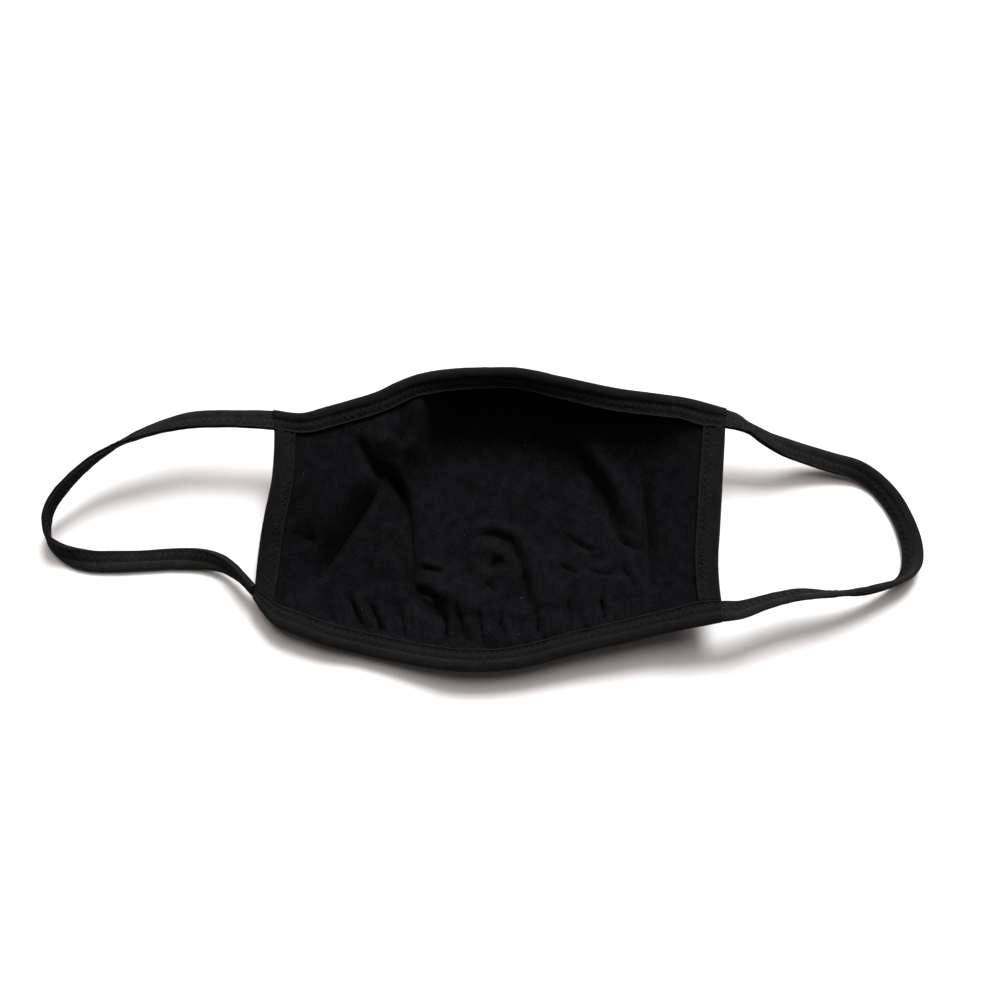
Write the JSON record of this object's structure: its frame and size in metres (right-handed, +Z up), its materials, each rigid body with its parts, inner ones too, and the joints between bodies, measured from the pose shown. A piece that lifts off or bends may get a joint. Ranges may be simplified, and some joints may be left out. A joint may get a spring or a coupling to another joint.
{
  "type": "cloth face mask",
  "caption": "Soft two-ply jersey face mask with bound edges and fabric ear loops, lying open on its outer face with the hollow inside up.",
  "frame": {"origin": "middle of the outline, on the surface that the mask lies on", "axes": "+X along the mask from one ear loop to the other, +Y from the chin edge to the nose edge, +Z up out of the hollow"},
  "size_m": [0.3445, 0.1166, 0.0327],
  "materials": {
    "panel_jersey": "matt black fine-rib cotton jersey",
    "binding_tape": "matt black folded jersey tape, cover-stitched",
    "loop_tape": "matt black folded jersey strip, stitched along its length"
  },
  "bodies": {
    "root": {"mask_panel": "panel_jersey", "side_binding_left": "binding_tape", "side_binding_right": "binding_tape", "top_binding": "binding_tape", "bottom_binding": "binding_tape", "ear_loop_left": "loop_tape", "ear_loop_right": "loop_tape"}
  },
  "joints": []
}
